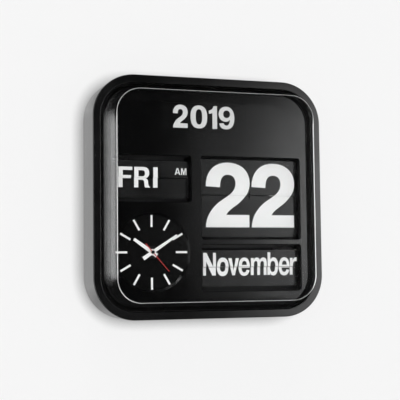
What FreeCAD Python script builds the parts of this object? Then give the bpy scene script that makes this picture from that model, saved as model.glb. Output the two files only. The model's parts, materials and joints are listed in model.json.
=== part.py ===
"""Square wall clock with flip-leaf calendar and a small analogue dial.

Millimetres. X runs to the viewer's right, Y runs back to the wall and Z runs up.
The origin is where the wall screw carries the clock: on the wall plane, at the top of
the keyhole. Shapes are drawn with z = 0 at the middle of the case and lifted to that
origin when they are written. Depths, written d, run backwards from the case's front rim.
A pair named ..._D holds a piece's front and back depth.
"""
import FreeCAD
import Part
import math
import os
from collections import namedtuple

Vec = FreeCAD.Vector
AXIS_X = Vec(1, 0, 0)
AXIS_Y = Vec(0, 1, 0)

# ---- driving dimensions: case and cover ---------------------------------------------
CASE_WIDTH = 240.0
CASE_DEPTH = 42.0
CASE_WALL = 3.0
CASE_EDGE = 0.9               # bevel round the front of the case
CORNER_AXIS = 78.0            # every rounded corner turns about (+-78, +-78)
BUMPER_PROUD = 0.5            # the rubber bumpers stand this far behind the case
RIM_Y = -(CASE_DEPTH + BUMPER_PROUD)

LIP_OPENING = 112.3           # half width of the opening inside the front lip
LIP_THICK = 3.0
LIP_EDGE = 0.6
BOSS_AT = 114.9               # case bosses: distance from the middle, along each side
BOSS_SPREAD = 50.0
BOSS_HALF = 2.2
BOSS_PILOT_D = 5.0            # the bosses' pilot holes start here

COVER_FRONT_D = -24.0         # front pane of the clear cover
COVER_PANE = 1.6
COVER_FRONT_HALF = 102.4
COVER_FOOT_HALF = 110.4
COVER_WALL = 2.0
COVER_EDGE = 1.2              # bevel round the front pane
FLANGE_HALF = 115.6
FLANGE_D = (3.0, 5.0)
FLANGE_NOTCH_GAP = 0.4        # flange notches round the case bosses

# ---- driving dimensions: face, dial and hands ---------------------------------------
FACE_HALF = 106.5
FACE_D = (6.2, 8.7)
FACE_SCREW_X = 88.0
FACE_SCREW_Z = 100.5
FACE_MIDDLE_SCREWS = [(-13.4, 56.0), (-13.4, -100.5)]
FACE_POST_R = 3.0
COLLAR_BACK_D = 11.6          # collars behind the windows end here
COLLAR_WALL = 1.6
WINDOW_R = 2.5
WINDOW_BEVEL = 0.7

YEAR_CARD = (-49.3, 40.4, 66.5, 94.9)
CARD_THICK = 0.8
CARD_SUNK = 0.6
CARD_R = 1.0
CARD_GAP = 0.2

DIAL_X, DIAL_Z = -59.5, -54.1
DIAL_OPENING_R = 37.3
DIAL_BEVEL = 2.1              # wide flare round the dial opening
DIAL_FACE_D = 9.0
DIAL_THICK = 1.4
DIAL_R = 43.0
DIAL_SEAT_R = 30.0
MARKER_R = (24.9, 36.6)
MARKER_WIDTH = 1.95
MARKER_PROUD = 0.4

Hand = namedtuple("Hand", "angle d tip tail tip_half tail_half hub_r bore outer tube_end_d")
HANDS = {
    "hour": Hand(304.9, (6.7, 7.3), 22.5, 5.8, 1.35, 2.1, 3.1, 1.8, 2.55, 20.0),
    "minute": Hand(56.4, (5.3, 5.9), 30.3, 11.4, 1.0, 1.9, 2.4, 0.8, 1.75, 22.0),
    "second": Hand(139.0, (4.2, 4.6), 24.9, 11.0, 0.25, 0.45, 1.7, 0.0, 0.75, 24.0),
}
HUB_CAP_R = 1.7
HUB_CAP_D = 3.4
RUNNING_GAP = 0.05

# ---- driving dimensions: quartz movement --------------------------------------------
MOVEMENT_HALF = 28.0
MOVEMENT_BACK_D = 29.0
MOVEMENT_R = 5.0
MOVEMENT_RECESS = (-26.0, 26.0, 8.0, 24.0)    # shallow recess in its back
RECESS_DEPTH = 0.8
BUSH_R = 4.0
BUSH_FRONT_D = 7.5
NUT_FRONT_D = 7.6
NUT_CORNER_R = 6.9
KNOB_DROP = 15.0              # setting knob below the middle of the dial
KNOB_SHAFT_R = 1.5
KNOB_SHAFT_D = (26.0, 36.4)
KNOB_R = 6.0
KNOB_D = (35.4, 41.2)
KNOB_GRIPS = 18
KNOB_GRIP_R = 0.45
KNOB_HOLE_R = 7.2

# ---- driving dimensions: chassis, frames and rear -----------------------------------
CHASSIS_D = (11.8, 13.4)
CHASSIS_HALF = 116.3
FENCE_HALF = (111.6, 114.4)   # wall on the chassis that presses the cover's flange
CHASSIS_BOSS_GAP = 0.6
REAR_D = (38.0, 40.4)
REAR_HALF = 116.6
REAR_POST_AT = 98.0
REAR_POST_R = 4.0
REAR_POST_PILOT_D = 24.0
VENT = (20.0, 80.0, -84.0)    # x range and lowest z of the vent slots
VENT_SLOTS = 4
VENT_PITCH = 5.0
VENT_HEIGHT = 2.2
PILOT_R = 1.1
THREAD_R = 1.3                # clearance holes for the case and face screws
SMALL_SCREW_R = 0.9           # screws of the unit frames and the battery tray
SMALL_SCREW_COVER = 0.5       # of chassis left closed in front of them
SCREW_HOLE_R = 1.7            # clearance holes for the rear screws

HANGER = (-13.0, 13.0, 64.0, 104.0)
HANGER_D = (REAR_D[1], REAR_D[1] + 1.2)
HANGER_R = 3.0
HANGER_SCREW_Z = (67.5, 101.0)
KEYHOLE_Z = 80.0
KEYHOLE_R = 4.8
KEYHOLE_SLOT = 4.8
KEYHOLE_TOP = 92.0
HEAD_ROOM = (-8.5, 8.5, 71.0, 98.0)    # hole in the rear cover behind the keyhole
HEAD_ROOM_R = 2.0
BUMPER_R = 5.0
BUMPER_X, BUMPER_Z = 104.0, 58.0

# ---- driving dimensions: flip units -------------------------------------------------
LEAF_PIVOT_D = 14.0           # plane in which the leaves turn over
LEAF_THICK = 0.5
LEAF_SIDE_GAP = 0.5           # leaf edge to window edge
HINGE_GAP = 0.3               # hinge line to the edge of the front leaf
TAB_R = 0.35                  # round tabs on which a leaf turns
TAB_REACH = 1.1               # tabs stand this far out of the leaf's edges
TAB_EAR = 2.0
PACK_GAP = 0.3
PACK_BACK_D = 16.3
PACK_HINGE_GAP = 0.4
PACK_SHEETS = 4
REAR_SHEETS = 5
REAR_SHEET_THICK = 0.62
REAR_SHEET_STEP = 1.6
NOTCH_HALF = 0.9              # slot near the middle of the hinge edge, for the release finger
NOTCH_SHIFT = 1.1             # to the right of that middle
NOTCH_HEIGHT = 4.5
NOTCH_SHARE = 0.2             # or this share of the leaf, if that is less

SPOOL_R = 9.5                 # the leaves hang on this radius
SPOOL_D = LEAF_PIVOT_D + SPOOL_R
SPOOL_CORE_R = 4.0
DISC_R = 10.7
DISC_X = (0.6, 2.1)           # end discs, measured out from the leaf's edge
SPOOL_HOLE_R = 0.4
GROOVE_HALF = 0.5             # ring groove in each disc, in which the tabs run
GROOVE_DEPTH = 0.8
SHAFT_R = 1.5
MODULE = 0.8
SPOOL_TEETH = 26
PINION_TEETH = 10
GEAR_X = (2.1, 5.1)
PINION_X = (2.3, 4.9)
PINION_SHAFT_R = 1.0
MESH_SLACK = 0.12
PINION_DROP = 4.5             # the pinion sits this far behind the spool's axis
ADDENDUM, DEDENDUM = 0.78, 1.05
MOTOR_X = (-19.0, -0.8)
MOTOR_R = 6.5
MOTOR_BOSS_R = 2.6
MOTOR_PLUG_X = (-17.0, -12.0)
FRAME_BACK_D = 35.7
FRAME_WALL = 1.6
FRAME_GEARED_X = 5.7          # side plates, measured out from the leaf's edge
FRAME_PLAIN_X = 2.7
FRAME_Z = (-18.0, 22.0)
RAIL_THICK = 1.2
FRONT_RAIL_Z = ((10.2, 16.0), (-16.0, -10.2))
BACK_RAIL_Z = ((9.0, 20.0), (-16.0, -9.0))
FOOT_HALF = 1.9
FOOT_HEIGHT_HALF = 3.5
FOOT_THICK = 2.0
GEARED_FEET = (17.0, -13.0)
PLAIN_FEET = {"day": (12.0,), "date": (-13.0,), "month": (17.0, -13.0)}

Window = namedtuple("Window", "x0 x1 z0 z1")
Unit = namedtuple("Unit", "name window split leaf tail leaves gear")
UNITS = [
    Unit("day", Window(-98.7, -18.8, -4.2, 41.6), 19.9, 17.0, 20.2, 14, -1),
    Unit("date", Window(-8.1, 99.2, -41.2, 41.8), 3.6, 36.2, 42.3, 31, 1),
    Unit("month", Window(-8.1, 99.2, -93.3, -46.9), -69.2, 17.0, 19.6, 12, 1),
]

# ---- driving dimensions: power and control ------------------------------------------
CELL_R = 7.25
CELL_LENGTH = 50.5
CELL_NUB_R = 2.7
CELL_NUB = 1.3
CELL_PITCH = 17.2
TRAY = (24.0, 84.0, 58.5, 96.5)
TRAY_D = (18.0, 36.8)
TRAY_WALL = 1.5
TRAY_RIB = (7.0, 0.8)         # height and half width of the rib between the cells
TRAY_LEG_IN = 5.0
TRAY_LEG_HALF = (3.0, 6.0)
CONTACT = 0.5
CONTACT_HALF = 5.5
SPRING_HALF = 3.5             # bowed leaf springs: half width and half length
SPRING_LENGTH_HALF = 5.2
SPRING_THICK = 0.4

DOOR = (22.5, 85.5, 57.0, 98.0)
DOOR_GAP = 0.35
DOOR_PIN_R = 0.7
DOOR_PIN_REACH = 2.0
DOOR_GRIP = (9.0, 5.0, 1.3)   # finger groove: half length, distance from the edge, radius

BOARD = (-94.0, -26.0, 61.0, 95.0)
BOARD_D = (30.0, 31.6)
BOARD_R = 2.0
BOARD_POSTS = [(-89.0, 78.0), (-31.0, 78.0)]
BOARD_POST_PILOT_D = 22.0
CHIP = (-66.0, -54.0, 66.0, 74.0, 1.6)
CAPACITOR = (-80.0, 68.0, 4.0, 4.5)
CRYSTAL = (-46.0, -36.0, 67.0, 71.0, 1.9, 3.2)
BUTTONS = {"day": -76.0, "date": -60.0, "month": -44.0}
BUTTON_Z = 84.0
BUTTON_R = 3.0
BUTTON_PROUD = 0.8
BUTTON_FLANGE = (4.4, 36.6, 37.6)    # radius and depths of the flange that stops it
BUTTON_GAP = 0.08
SWITCH_HALF = 3.0
SWITCH_HEIGHT = 3.2
SWITCH_KEY_R = 1.6
SWITCH_KEY = 0.8

# ---- working values -----------------------------------------------------------------
OVER = 1.0                    # how far a cutting shape runs past what it cuts
SINK = 0.5                    # how far joined shapes run into each other


# ---- helpers ------------------------------------------------------------------------
def y_of(d):
    return RIM_Y + d


def block(x0, x1, d0, d1, z0, z1):
    return Part.makeBox(x1 - x0, d1 - d0, z1 - z0, Vec(x0, y_of(d0), z0))


def post(x, z, r, d0, d1):
    """Round bar along Y."""
    return Part.makeCylinder(r, d1 - d0, Vec(x, y_of(d0), z), AXIS_Y)


def bar(x0, x1, d, z, r):
    """Round bar along X."""
    return Part.makeCylinder(r, x1 - x0, Vec(x0, y_of(d), z), AXIS_X)


def ring(x0, x1, d, z, r_in, r_out):
    """Flat ring about an axis along X."""
    return bar(x0, x1, d, z, r_out).cut(bar(x0 - OVER, x1 + OVER, d, z, r_in))


def outline(x0, x1, z0, z1, r, d):
    """Rounded rectangle in the plane at depth d."""
    y = y_of(d)
    k = r * (1 - math.sqrt(0.5))

    def at(x, z):
        return Vec(x, y, z)

    corners = [
        (at(x1 - r, z0), at(x1 - k, z0 + k), at(x1, z0 + r)),
        (at(x1, z1 - r), at(x1 - k, z1 - k), at(x1 - r, z1)),
        (at(x0 + r, z1), at(x0 + k, z1 - k), at(x0, z1 - r)),
        (at(x0, z0 + r), at(x0 + k, z0 + k), at(x0 + r, z0)),
    ]
    edges = []
    for i, corner in enumerate(corners):
        edges.append(Part.Arc(*corner).toShape())
        following = corners[(i + 1) % 4][0]
        edges.append(Part.LineSegment(corner[2], following).toShape())
    return Part.Wire(edges)


def slab(x0, x1, z0, z1, r, d0, d1):
    face = Part.Face(outline(x0, x1, z0, z1, r, d0))
    return face.extrude(Vec(0, d1 - d0, 0))


def square_outline(half, d):
    return outline(-half, half, -half, half, half - CORNER_AXIS, d)


def square_slab(half, d0, d1):
    return slab(-half, half, -half, half, half - CORNER_AXIS, d0, d1)


def square_taper(half0, d0, half1, d1):
    wires = [square_outline(half0, d0), square_outline(half1, d1)]
    return Part.makeLoft(wires, True, True)


def plate_of(points, along):
    """Flat closed outline, pushed along a vector."""
    return Part.Face(Part.makePolygon(points + points[:1])).extrude(along)


def fuse(shapes):
    body = shapes[0]
    for shape in shapes[1:]:
        body = body.fuse(shape)
    return body.removeSplitter()


def cut(body, tools):
    for tool in tools:
        body = body.cut(tool)
    return body


def four(x, z):
    return [(sx * x, sz * z) for sx in (-1, 1) for sz in (-1, 1)]


def screw(x, z, head_d, tip_d, r, head_r, head_h):
    """Pan-head cross-slot screw driven forwards: its head sits at head_d, its tip at tip_d."""
    top = head_d + head_h
    slot_d = head_d + head_h * 0.5
    long_half = head_r * 0.62
    thin_half = head_r * 0.16
    body = post(x, z, r, tip_d, head_d).fuse(post(x, z, head_r, head_d, top))
    return cut(body, [
        block(x - long_half, x + long_half, slot_d, top + OVER, z - thin_half, z + thin_half),
        block(x - thin_half, x + thin_half, slot_d, top + OVER, z - long_half, z + long_half),
    ])


def gear_blank(x0, x1, d, z, teeth, phase):
    """Straight-toothed wheel about X. A tooth points along angle phase (0 is up, +90 is
    towards the back)."""
    pitch_r = MODULE * teeth / 2
    tip_r = pitch_r + ADDENDUM * MODULE
    root_r = pitch_r - DEDENDUM * MODULE
    step = 2 * math.pi / teeth
    points = []
    for i in range(teeth):
        middle = math.radians(phase) + i * step
        for share, r in ((-0.30, root_r), (-0.10, tip_r), (0.10, tip_r), (0.30, root_r)):
            a = middle + share * step
            points.append(Vec(x0, y_of(d) + r * math.sin(a), z + r * math.cos(a)))
    return plate_of(points, Vec(x1 - x0, 0, 0))


# ---- case and clear cover -----------------------------------------------------------
def boss_places():
    s, b = BOSS_SPREAD, BOSS_AT
    return [(x, z) for x in (-b, b) for z in (-s, s)] + [(x, z) for x in (-s, s) for z in (-b, b)]


def around_boss(x, z, spare, d0, d1):
    """Box round a case boss, running into the case wall."""
    half = BOSS_HALF + spare
    wall = CASE_WIDTH / 2 - CASE_WALL + SINK
    if abs(x) > abs(z):
        ends = sorted((x - math.copysign(half, x), math.copysign(wall, x)))
        return block(*ends, d0, d1, z - half, z + half)
    ends = sorted((z - math.copysign(half, z), math.copysign(wall, z)))
    return block(x - half, x + half, d0, d1, *ends)


def case_shell():
    half = CASE_WIDTH / 2
    body = fuse([
        square_taper(half - CASE_EDGE, 0.0, half, CASE_EDGE),
        square_slab(half, CASE_EDGE, CASE_DEPTH),
    ])
    body = cut(body, [
        square_slab(half - CASE_WALL, LIP_THICK, CASE_DEPTH + OVER),
        square_slab(LIP_OPENING, -OVER, LIP_THICK + OVER),
        square_taper(LIP_OPENING + LIP_EDGE, 0.0, LIP_OPENING, LIP_EDGE),
    ])
    bosses = [around_boss(x, z, 0.0, LIP_THICK, CHASSIS_D[0]) for x, z in boss_places()]
    pilots = [post(x, z, PILOT_R, BOSS_PILOT_D, CHASSIS_D[0] + OVER) for x, z in boss_places()]
    return cut(fuse([body] + bosses), pilots)


def clear_cover():
    """Drawn pane with sloping walls; its foot flange is trapped behind the case's lip."""
    slope = (COVER_FOOT_HALF - COVER_FRONT_HALF) / (FLANGE_D[0] - COVER_FRONT_D)
    inner_front = COVER_FRONT_HALF - COVER_WALL + slope * COVER_PANE
    inner_foot = inner_front + slope * (FLANGE_D[1] - COVER_FRONT_D - COVER_PANE)
    bevel_half = COVER_FRONT_HALF - COVER_EDGE
    bevel_d = COVER_FRONT_D + COVER_EDGE
    shoulder_half = COVER_FRONT_HALF + slope * COVER_EDGE
    outside = fuse([
        square_taper(bevel_half, COVER_FRONT_D, shoulder_half, bevel_d),
        square_taper(shoulder_half, bevel_d, COVER_FOOT_HALF, FLANGE_D[0]),
        square_slab(FLANGE_HALF, *FLANGE_D),
    ])
    inside = square_taper(inner_front, COVER_FRONT_D + COVER_PANE, inner_foot, FLANGE_D[1])
    notch_d = (FLANGE_D[0] - SINK, FLANGE_D[1] + SINK)
    notches = [around_boss(x, z, FLANGE_NOTCH_GAP, *notch_d) for x, z in boss_places()]
    return cut(outside.cut(inside), notches)


# ---- face, dial and year card -------------------------------------------------------
def face_screw_places():
    return four(FACE_SCREW_X, FACE_SCREW_Z) + FACE_MIDDLE_SCREWS


def window_shapes(w):
    """Collar behind a window, its opening and the opening's front bevel."""
    t = COLLAR_WALL
    collar = slab(w.x0 - t, w.x1 + t, w.z0 - t, w.z1 + t, WINDOW_R + t,
                  FACE_D[0] + OVER, COLLAR_BACK_D)
    opening = slab(w.x0, w.x1, w.z0, w.z1, WINDOW_R, FACE_D[0] - OVER, COLLAR_BACK_D + OVER)
    b = WINDOW_BEVEL
    wide = outline(w.x0 - b, w.x1 + b, w.z0 - b, w.z1 + b, WINDOW_R + b, FACE_D[0])
    narrow = outline(w.x0, w.x1, w.z0, w.z1, WINDOW_R, FACE_D[0] + b)
    return collar, opening, Part.makeLoft([wide, narrow], True, True)


def face_plate():
    shapes = [window_shapes(unit.window) for unit in UNITS]
    collars = [collar for collar, _, _ in shapes]
    posts = [post(x, z, FACE_POST_R, FACE_D[1] - SINK, CHASSIS_D[0])
             for x, z in face_screw_places()]
    body = fuse([square_slab(FACE_HALF, *FACE_D)] + collars + posts)
    cuts = [shape for _, opening, bevel in shapes for shape in (opening, bevel)]
    cuts.append(post(DIAL_X, DIAL_Z, DIAL_OPENING_R, FACE_D[0] - OVER, FACE_D[1] + OVER))
    cone_at = Vec(DIAL_X, y_of(FACE_D[0]), DIAL_Z)
    cuts.append(Part.makeCone(DIAL_OPENING_R + DIAL_BEVEL, DIAL_OPENING_R, DIAL_BEVEL,
                              cone_at, AXIS_Y))
    x0, x1, z0, z1 = YEAR_CARD
    g = CARD_GAP
    cuts.append(slab(x0 - g, x1 + g, z0 - g, z1 + g, CARD_R + g,
                     FACE_D[0] - OVER, FACE_D[0] + CARD_SUNK))
    cuts += [post(x, z, PILOT_R, FACE_D[1], CHASSIS_D[0] + OVER) for x, z in face_screw_places()]
    return cut(body, cuts)


def year_card():
    back = FACE_D[0] + CARD_SUNK
    return slab(*YEAR_CARD, CARD_R, back - CARD_THICK, back)


def dial_disc():
    back = DIAL_FACE_D + DIAL_THICK
    hole = post(DIAL_X, DIAL_Z, BUSH_R + 2 * RUNNING_GAP, DIAL_FACE_D - OVER, back + OVER)
    return post(DIAL_X, DIAL_Z, DIAL_R, DIAL_FACE_D, back).cut(hole)


def about_dial(shape, angle):
    """Turn a shape drawn at twelve o'clock clockwise, as seen from the front."""
    return shape.rotate(Vec(DIAL_X, 0, DIAL_Z), AXIS_Y, angle)


def hour_markers():
    half = MARKER_WIDTH / 2
    marks = []
    for i in range(12):
        mark = block(DIAL_X - half, DIAL_X + half, DIAL_FACE_D - MARKER_PROUD, DIAL_FACE_D,
                     DIAL_Z + MARKER_R[0], DIAL_Z + MARKER_R[1])
        marks.append(about_dial(mark, 30 * i))
    return Part.makeCompound(marks)


# ---- hands and movement -------------------------------------------------------------
def hand(kind):
    """Tapered blade with a round hub, pressed on its tube."""
    h = HANDS[kind]
    front, back = h.d
    y = y_of(front)
    points = [Vec(DIAL_X - h.tail_half, y, DIAL_Z - h.tail),
              Vec(DIAL_X + h.tail_half, y, DIAL_Z - h.tail),
              Vec(DIAL_X + h.tip_half, y, DIAL_Z + h.tip),
              Vec(DIAL_X - h.tip_half, y, DIAL_Z + h.tip)]
    blade = plate_of(points, Vec(0, back - front, 0))
    body = fuse([blade, post(DIAL_X, DIAL_Z, h.hub_r, front, back)])
    body = body.cut(post(DIAL_X, DIAL_Z, h.outer, front - OVER, back + OVER))
    return about_dial(body, h.angle)


def hand_tube(kind):
    """Tube of the hour or minute hand, or the solid pin of the second hand."""
    h = HANDS[kind]
    tube = post(DIAL_X, DIAL_Z, h.outer, h.d[0], h.tube_end_d)
    if h.bore:
        tube = tube.cut(post(DIAL_X, DIAL_Z, h.bore, h.d[0] - OVER, h.tube_end_d + OVER))
    return tube


def hub_cap():
    return post(DIAL_X, DIAL_Z, HUB_CAP_R, HUB_CAP_D, HANDS["second"].d[0])


def movement():
    h = MOVEMENT_HALF
    front, back = CHASSIS_D[1], MOVEMENT_BACK_D
    box = slab(DIAL_X - h, DIAL_X + h, DIAL_Z - h, DIAL_Z + h, MOVEMENT_R, front, back)
    bush = post(DIAL_X, DIAL_Z, BUSH_R, BUSH_FRONT_D, front + SINK)
    x0, x1, z0, z1 = MOVEMENT_RECESS
    bore = HANDS["hour"].outer + RUNNING_GAP
    return cut(fuse([box, bush]), [
        post(DIAL_X, DIAL_Z, bore, BUSH_FRONT_D - OVER, HANDS["second"].tube_end_d + OVER),
        post(DIAL_X, DIAL_Z - KNOB_DROP, KNOB_SHAFT_R + RUNNING_GAP,
             KNOB_SHAFT_D[0] - OVER, back + OVER),
        slab(DIAL_X + x0, DIAL_X + x1, DIAL_Z + z0, DIAL_Z + z1, HEAD_ROOM_R,
             back - RECESS_DEPTH, back + OVER),
    ])


def movement_nut():
    points = []
    for i in range(6):
        a = math.radians(60 * i)
        points.append(Vec(DIAL_X + NUT_CORNER_R * math.cos(a), y_of(NUT_FRONT_D),
                          DIAL_Z + NUT_CORNER_R * math.sin(a)))
    nut = plate_of(points, Vec(0, DIAL_FACE_D - NUT_FRONT_D, 0))
    return nut.cut(post(DIAL_X, DIAL_Z, BUSH_R + RUNNING_GAP,
                        NUT_FRONT_D - OVER, DIAL_FACE_D + OVER))


def time_knob():
    z = DIAL_Z - KNOB_DROP
    shaft = post(DIAL_X, z, KNOB_SHAFT_R, *KNOB_SHAFT_D)
    knob = post(DIAL_X, z, KNOB_R, *KNOB_D)
    grips = []
    for i in range(KNOB_GRIPS):
        a = 2 * math.pi * i / KNOB_GRIPS
        grips.append(post(DIAL_X + KNOB_R * math.cos(a), z + KNOB_R * math.sin(a),
                          KNOB_GRIP_R, KNOB_D[0] + OVER, KNOB_D[1] + OVER))
    return cut(fuse([shaft, knob]), grips)


# ---- flip units ---------------------------------------------------------------------
def leaf_span(unit):
    return unit.window.x0 + LEAF_SIDE_GAP, unit.window.x1 - LEAF_SIDE_GAP


def beyond(unit, side, near, far):
    """X range outside one edge of the leaf, from near to far beyond it. Side +1 is the
    geared edge and -1 the plain one."""
    x0, x1 = leaf_span(unit)
    if unit.gear * side > 0:
        return x1 + near, x1 + far
    return x0 - far, x0 - near


def geared(unit, near, far):
    return beyond(unit, 1, near, far)


def plain(unit, near, far):
    return beyond(unit, -1, near, far)


def pinion_place(unit):
    """Depth and height of the pinion's axis, above and behind the spool's, and the angle
    at which it lies."""
    centre = MODULE * (SPOOL_TEETH + PINION_TEETH) / 2 + MESH_SLACK
    rise = math.sqrt(centre ** 2 - PINION_DROP ** 2)
    return SPOOL_D + PINION_DROP, unit.split + rise, math.degrees(math.atan2(PINION_DROP, rise))


def spool(unit):
    """Shaft with two end discs. The leaves' tabs run in a ring groove in each disc, and a
    hole for every leaf takes the next tab."""
    z = unit.split
    x0, x1 = leaf_span(unit)
    gear_end, plain_end = geared(unit, 0, GEAR_X[1] + 3.2), plain(unit, 0, DISC_X[1] + 3.2)
    pieces = [bar(min(gear_end + plain_end), max(gear_end + plain_end), SPOOL_D, z, SHAFT_R),
              bar(x0 - OVER, x1 + OVER, SPOOL_D, z, SPOOL_CORE_R)]
    pieces += [bar(*side, SPOOL_D, z, DISC_R) for side in (geared(unit, *DISC_X), plain(unit, *DISC_X))]
    mesh_angle = pinion_place(unit)[2]
    pieces.append(gear_blank(*geared(unit, *GEAR_X), SPOOL_D, z, SPOOL_TEETH, mesh_angle))
    grooves = []
    for side in (1, -1):
        span = beyond(unit, side, DISC_X[0] - OVER, DISC_X[0] + GROOVE_DEPTH)
        grooves.append(ring(*span, SPOOL_D, z, SPOOL_R - GROOVE_HALF, SPOOL_R + GROOVE_HALF))
    holes = []
    for i in range(unit.leaves):
        a = math.pi + 2 * math.pi * i / unit.leaves
        holes.append(bar(*plain(unit, DISC_X[0], DISC_X[1] + OVER),
                         SPOOL_D + SPOOL_R * math.cos(a), z + SPOOL_R * math.sin(a), SPOOL_HOLE_R))
    return cut(fuse(pieces), grooves + [Part.makeCompound(holes)])


def pinion(unit):
    d, z, angle = pinion_place(unit)
    half_step = 180.0 / PINION_TEETH
    wheel = gear_blank(*geared(unit, *PINION_X), d, z, PINION_TEETH, angle + 180 + half_step)
    shaft = bar(*geared(unit, -4.0, PINION_X[1] + SINK), d, z, PINION_SHAFT_R)
    return fuse([wheel, shaft])


def motor(unit):
    d, z, _ = pinion_place(unit)
    body = fuse([
        bar(*geared(unit, *MOTOR_X), d, z, MOTOR_R),
        bar(*geared(unit, MOTOR_X[1] - SINK, 0.2), d, z, MOTOR_BOSS_R),
        block(*geared(unit, *MOTOR_PLUG_X), d + 2.0, d + MOTOR_R, z - 5.0, z + 5.0),
    ])
    return body.cut(bar(*geared(unit, -6.0, OVER), d, z, PINION_SHAFT_R + RUNNING_GAP))


def frame_screw_places(unit):
    """Feet just outside the two side plates, on the chassis. The day and date units stand
    back to back, so each has one foot there, clear of the other's side plate."""
    reach = FRAME_WALL + FOOT_HALF
    geared_x = geared(unit, FRAME_GEARED_X + reach, FRAME_GEARED_X + reach)[0]
    plain_x = plain(unit, FRAME_PLAIN_X + reach, FRAME_PLAIN_X + reach)[0]
    places = [(geared_x, unit.split + rise) for rise in GEARED_FEET]
    return places + [(plain_x, unit.split + rise) for rise in PLAIN_FEET[unit.name]]


def unit_frame(unit):
    z = unit.split
    d0, d1 = CHASSIS_D[1], FRAME_BACK_D
    plates = [geared(unit, FRAME_GEARED_X, FRAME_GEARED_X + FRAME_WALL),
              plain(unit, FRAME_PLAIN_X, FRAME_PLAIN_X + FRAME_WALL)]
    x_low, x_high = min(plates[0] + plates[1]), max(plates[0] + plates[1])
    pieces = [block(*span, d0, d1, z + FRAME_Z[0], z + FRAME_Z[1]) for span in plates]
    for low, high in FRONT_RAIL_Z:
        pieces.append(block(x_low, x_high, PACK_BACK_D, PACK_BACK_D + RAIL_THICK, z + low, z + high))
    for low, high in BACK_RAIL_Z:
        pieces.append(block(x_low, x_high, d1 - RAIL_THICK, d1, z + low, z + high))
    holes = [bar(x_low - OVER, x_high + OVER, SPOOL_D, z, SHAFT_R + RUNNING_GAP)]
    for x, foot_z in frame_screw_places(unit):
        pieces.append(block(x - FOOT_HALF, x + FOOT_HALF, d0, d0 + FOOT_THICK,
                            foot_z - FOOT_HEIGHT_HALF, foot_z + FOOT_HEIGHT_HALF))
        holes.append(post(x, foot_z, PILOT_R, d0 - OVER, d0 + FOOT_THICK + OVER))
    return cut(fuse(pieces), holes)


def notch(unit, d0, d1):
    """Narrow slot near the middle of the hinge edge, for the release finger."""
    middle = sum(leaf_span(unit)) / 2 + NOTCH_SHIFT
    height = min(NOTCH_HEIGHT, unit.leaf * NOTCH_SHARE)
    y = y_of(d0)
    points = [Vec(middle - NOTCH_HALF, y, unit.split), Vec(middle, y, unit.split + height),
              Vec(middle + NOTCH_HALF, y, unit.split), Vec(middle, y, unit.split - height)]
    return plate_of(points, Vec(0, d1 - d0, 0))


def front_leaf(unit):
    """The upper leaf that falls forwards over the lower one, on two round tabs."""
    x0, x1 = leaf_span(unit)
    z = unit.split
    d0 = LEAF_PIVOT_D - LEAF_THICK / 2
    d1 = d0 + LEAF_THICK
    sheet = block(x0, x1, d0, d1, z + HINGE_GAP, z + unit.leaf)
    pieces = [sheet.cut(notch(unit, d0 - OVER, d1 + OVER))]
    for near in (x0, x1 - TAB_EAR):
        pieces.append(block(near, near + TAB_EAR, d0, d1, z, z + HINGE_GAP))
    pieces.append(bar(x0 - TAB_REACH, x0 + TAB_EAR, LEAF_PIVOT_D, z, TAB_R))
    pieces.append(bar(x1 - TAB_EAR, x1 + TAB_REACH, LEAF_PIVOT_D, z, TAB_R))
    return fuse(pieces)


def pile(unit, side, steps):
    """Leaves packed on each other above (side +1) or below (-1) the hinge: one stepped
    solid, each sheet longer than the one before it by a step."""
    x0, x1 = leaf_span(unit)
    front = LEAF_PIVOT_D + LEAF_THICK / 2 + PACK_GAP
    thick = (PACK_BACK_D - front) / PACK_SHEETS
    foot = unit.split + side * PACK_HINGE_GAP
    layers = []
    for i in range(PACK_SHEETS):
        tip = unit.split + side * (unit.leaf + i * steps)
        layers.append(block(x0, x1, front + i * thick, PACK_BACK_D, *sorted((foot, tip))))
    return fuse(layers).cut(notch(unit, front - OVER, PACK_BACK_D + OVER))


def upper_leaves(unit):
    return pile(unit, 1, 0.0)


def lower_leaves(unit):
    return pile(unit, -1, (unit.tail - unit.leaf) / (PACK_SHEETS - 1))


def rear_leaves(unit):
    """Leaves still to come, hanging behind the spool."""
    x0, x1 = leaf_span(unit)
    back = FRAME_BACK_D - RAIL_THICK
    z_top = unit.split - SHAFT_R
    layers = []
    for i in range(REAR_SHEETS):
        layers.append(block(x0, x1, back - REAR_SHEET_THICK * (i + 1), back,
                            z_top - unit.leaf + REAR_SHEET_STEP * i, z_top))
    return fuse(layers)


# ---- chassis ------------------------------------------------------------------------
def tray_leg_places():
    x0, x1, z0, z1 = TRAY
    return [(x, (z0 + z1) / 2) for x in (x0 + TRAY_LEG_IN, x1 - TRAY_LEG_IN)]


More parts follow.
